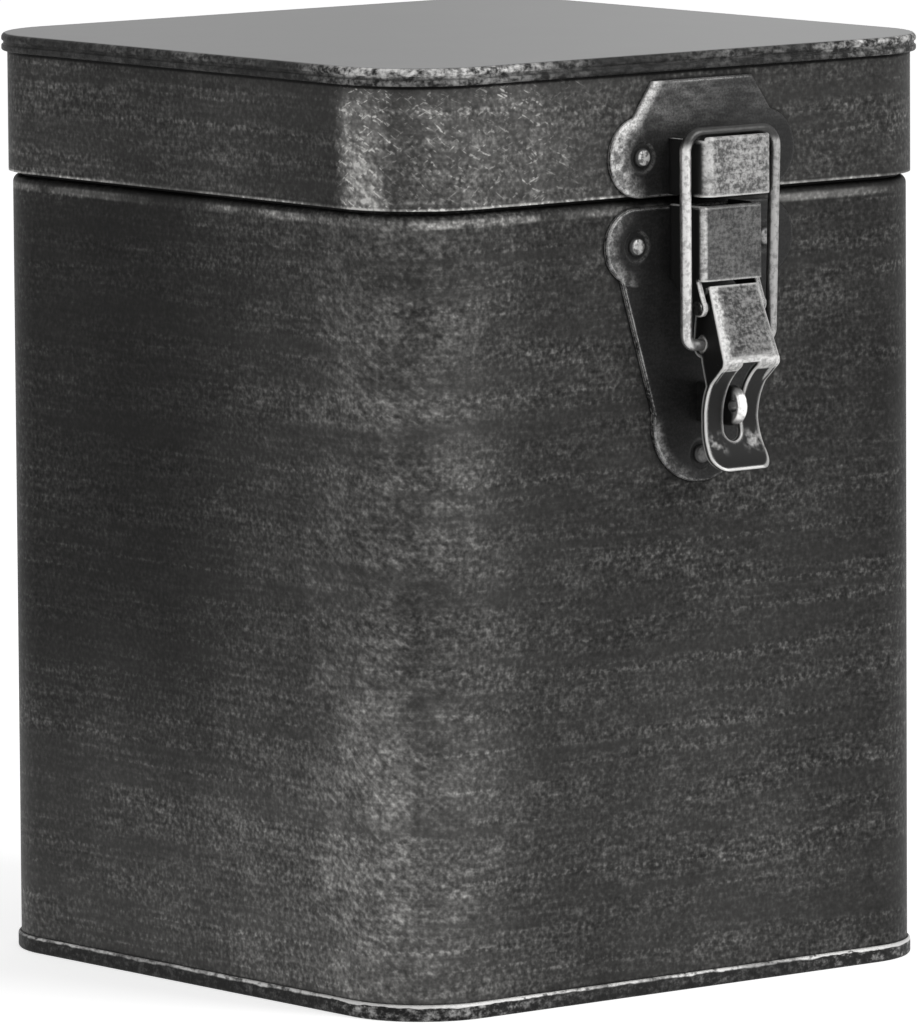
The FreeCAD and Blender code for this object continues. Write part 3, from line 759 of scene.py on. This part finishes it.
# Rubbed crease under the lid with a painted highlight along it
shoulder_rub_and_highlight = Band(LID_EDGE - 4.4 * MM, LID_EDGE - 2.6 * MM, 0.5 * MM, amount=5.0, unbroken=0.1)
body_finish = rubbed_sheet_with_painted_light("body_finish", tone=0.044, rubs_and_sheen=body_rubs_and_sheen, bands=[shoulder_rub_and_highlight],
                           fleck=0.5, painted_shade=side_shade)
dress(["body_shell"], body_finish)
# Rubs of the lid's band, with painted sheen at its near corner
band_rubs_and_sheen = [
    CornerRubAndSheen(lean=0.25, start=89 * MM, full=103 * MM, amount=0.8, patchy=0.5),
    CornerRubAndSheen(lean=4.0, start=409 * MM, full=420 * MM, amount=5.4, patchy=0.6),
]
# Rubbed lower edge of the lid's band with a painted highlight along it
lid_edge_rub_and_highlight = Band(LID_EDGE - 1 * MM, LID_EDGE + 0.5 * MM, 0.3 * MM, amount=5.0, unbroken=0.3)
# Painted shadow under the rolled seam
painted_seam_shadow = Band(seam_low.z - 0.8 * MM, seam_high.z, 0.25 * MM, amount=-0.85, unbroken=1.0)
band_finish = rubbed_sheet_with_painted_light("lid_band_finish", tone=0.056, rubs_and_sheen=band_rubs_and_sheen,
                           bands=[lid_edge_rub_and_highlight, painted_seam_shadow], fleck=5.0, painted_shade=lid_shade)
dress(["lid_band"], band_finish)

# Rolled seams of the lid and of the foot
lid_ridges = [
    Ridge(seam_high.z - 2.2 * MM, seam_high.z + 2 * MM, 0.6 * MM, amount=1.1, broken=0.48),
    Ridge(seam_low.z - 2 * MM, seam_low.z + 1.7 * MM, 0.5 * MM, amount=0.45, broken=0.5),
]
dress(["lid_top_panel"], seam_sheet("lid_top_finish", lid_ridges, least=0.0, top_shine=0.34))
foot_ridges = [
    Ridge(foot_high.z - 0.75 * MM, foot_high.z + 2 * MM, 0.25 * MM, amount=4.0, broken=0.38),
    Ridge(foot_low.z - 2 * MM, foot_high.z - 1.0 * MM, 0.4 * MM, amount=0.8, broken=0.58),
]
dress(["bottom_panel"], seam_sheet("bottom_finish", foot_ridges, least=0.14, top_shine=0.5))

# Dark steel of the latch and of the hinges
plate_finish = worn_steel_with_painted_light("plate_finish", dark=0.006, light=0.02, grain_size=1500.0, wear_and_shine=1.3,
                          radius=1.4 * MM, edge_break=0.5, marks_and_highlights=plate_marks, edges_at=plate_edges,
                          specular=0.2)
dress(["keeper_plate", "latch_base_plate"], plate_finish)
hook_finish = worn_steel_with_painted_light("hook_finish", dark=0.07, light=0.48, grain_size=950.0, wear_and_shine=1.6,
                         radius=1.4 * MM, edge_break=0.36, marks_and_highlights=boss_painted_highlight, edges_at=hook_edges)
dress(["keeper_hook"], hook_finish)
housing_finish = worn_steel_with_painted_light("housing_finish", dark=0.025, light=0.16, grain_size=950.0, wear_and_shine=1.6,
                            radius=1.3 * MM, edge_break=0.36, marks_and_highlights=boss_painted_highlight, edges_at=housing_edges)
dress(["latch_housing"], housing_finish)
# Painted shade in the lever's scoop
below_crest = (lever_low.z - 5 * MM, LEVER_CREST - 1.6 * MM, 0.3 * MM)
lever_finish = worn_steel_with_painted_light("lever_finish", dark=0.035, light=0.3, grain_size=1000.0, wear_and_shine=1.7,
                          radius=1.5 * MM, edge_break=0.3, marks_and_highlights=lever_marks_and_highlight, painted_shade=below_crest,
                          specular=0.12)
dress(["latch_lever"], lever_finish)
hinge_leaves = [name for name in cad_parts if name.startswith("hinge") and "leaf" in name]
hinge_finish = worn_steel_with_painted_light("hinge_finish", dark=0.008, light=0.03, grain_size=1500.0, wear_and_shine=1.0,
                          radius=0.8 * MM, edge_break=0.6)
dress(hinge_leaves, hinge_finish)

# Bright wire and staple, dull pins, and rivets
dress(["wire_bail"], bright_steel("wire_finish", 0.4, 0.72, wire_painted_shade))
dress(["padlock_staple"], bright_steel("staple_finish", 0.45, 0.85, staple_painted_shade))
pins = ["lever_pivot_pin", "hinge_pin_left", "hinge_pin_right"]
dress(pins, bright_steel("pin_finish", 0.05, 0.16))
rivets = [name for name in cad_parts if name.endswith("rivets")]
dress(rivets, rivet_steel("rivet_finish"))
